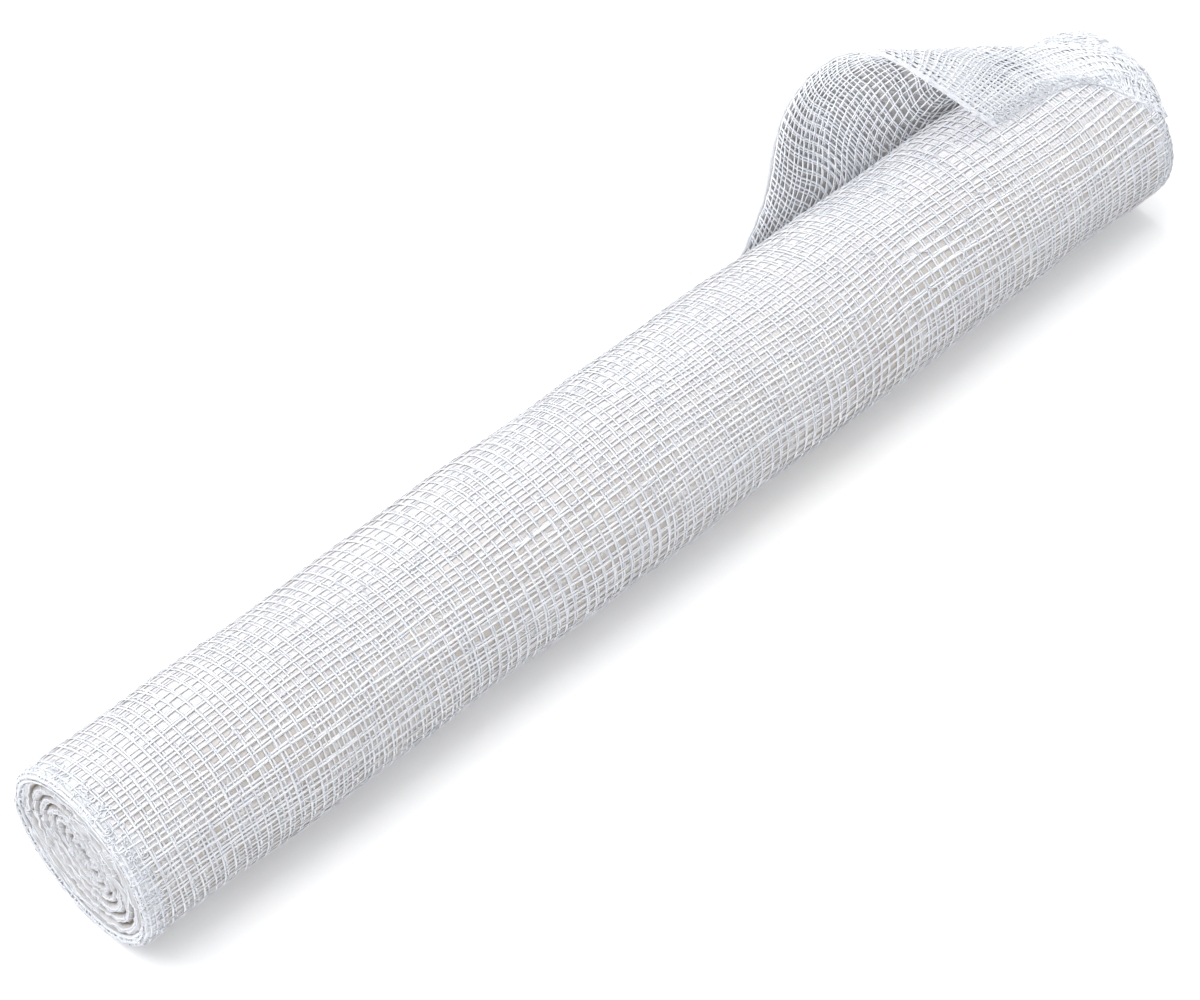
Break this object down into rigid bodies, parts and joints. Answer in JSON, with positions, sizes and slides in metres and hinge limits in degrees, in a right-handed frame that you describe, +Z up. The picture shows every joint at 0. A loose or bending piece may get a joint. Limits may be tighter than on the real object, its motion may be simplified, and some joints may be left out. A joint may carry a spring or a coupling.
{
  "type": "gauze bandage roll",
  "caption": "Wide roll of open-weave white cotton gauze bandage, wound without a core, its outer free corner lifted and turned over the top at one end.",
  "frame": {"origin": "on the floor, under the middle of the whole part's box", "axes": "+X along the roll towards the end with the lifted corner, +Y towards the back, where the outer turn is cut, +Z up"},
  "size_m": [0.2006, 0.032, 0.0514],
  "materials": {
    "gauze_roll": "bleached cotton gauze, matte",
    "loose_end": "bleached cotton gauze, matte, two plies"
  },
  "bodies": {
    "root": {"gauze_roll": "gauze_roll", "loose_end": "loose_end"}
  },
  "joints": []
}
